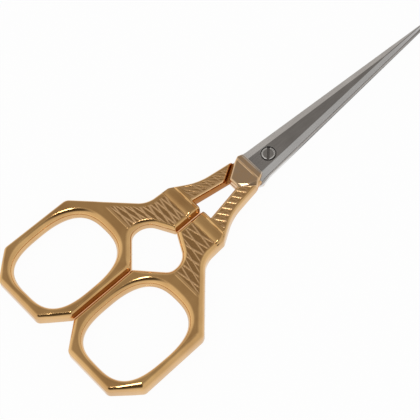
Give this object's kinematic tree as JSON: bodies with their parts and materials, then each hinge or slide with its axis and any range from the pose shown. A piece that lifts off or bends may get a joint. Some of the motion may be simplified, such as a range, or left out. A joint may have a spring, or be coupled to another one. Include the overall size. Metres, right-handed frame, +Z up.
{
  "type": "embroidery scissors",
  "caption": "Small scissors for needlework: slim pointed steel blades on a slotted pivot screw, gold-coloured cast handles shaped as an openwork tower that ends in octagonal finger bows.",
  "frame": {"origin": "under the middle of the closed pair's box, on the surface it lies on", "axes": "+Y towards the blade tips, +Z up through the pivot screw's head, +X towards the front half's finger bow"},
  "size_m": [0.0428, 0.102, 0.0034],
  "materials": {
    "blade_steel": "satin, ground along the blade",
    "gold_casting": "polished gold plating with a darker tone in the sunk panels",
    "screw_steel": "turned, with a bright rim"
  },
  "bodies": {
    "rear_half": {"rear_blade": "blade_steel", "rear_handle": "gold_casting", "pivot_screw": "screw_steel"},
    "front_half": {"front_blade": "blade_steel", "front_handle": "gold_casting"}
  },
  "joints": [
    {"name": "pivot", "type": "hinge", "parent": "rear_half", "child": "front_half", "pos_m": [0, 0.007, 0.0017], "axis": [0, 0, 1], "range_deg": [0, 60]}
  ]
}
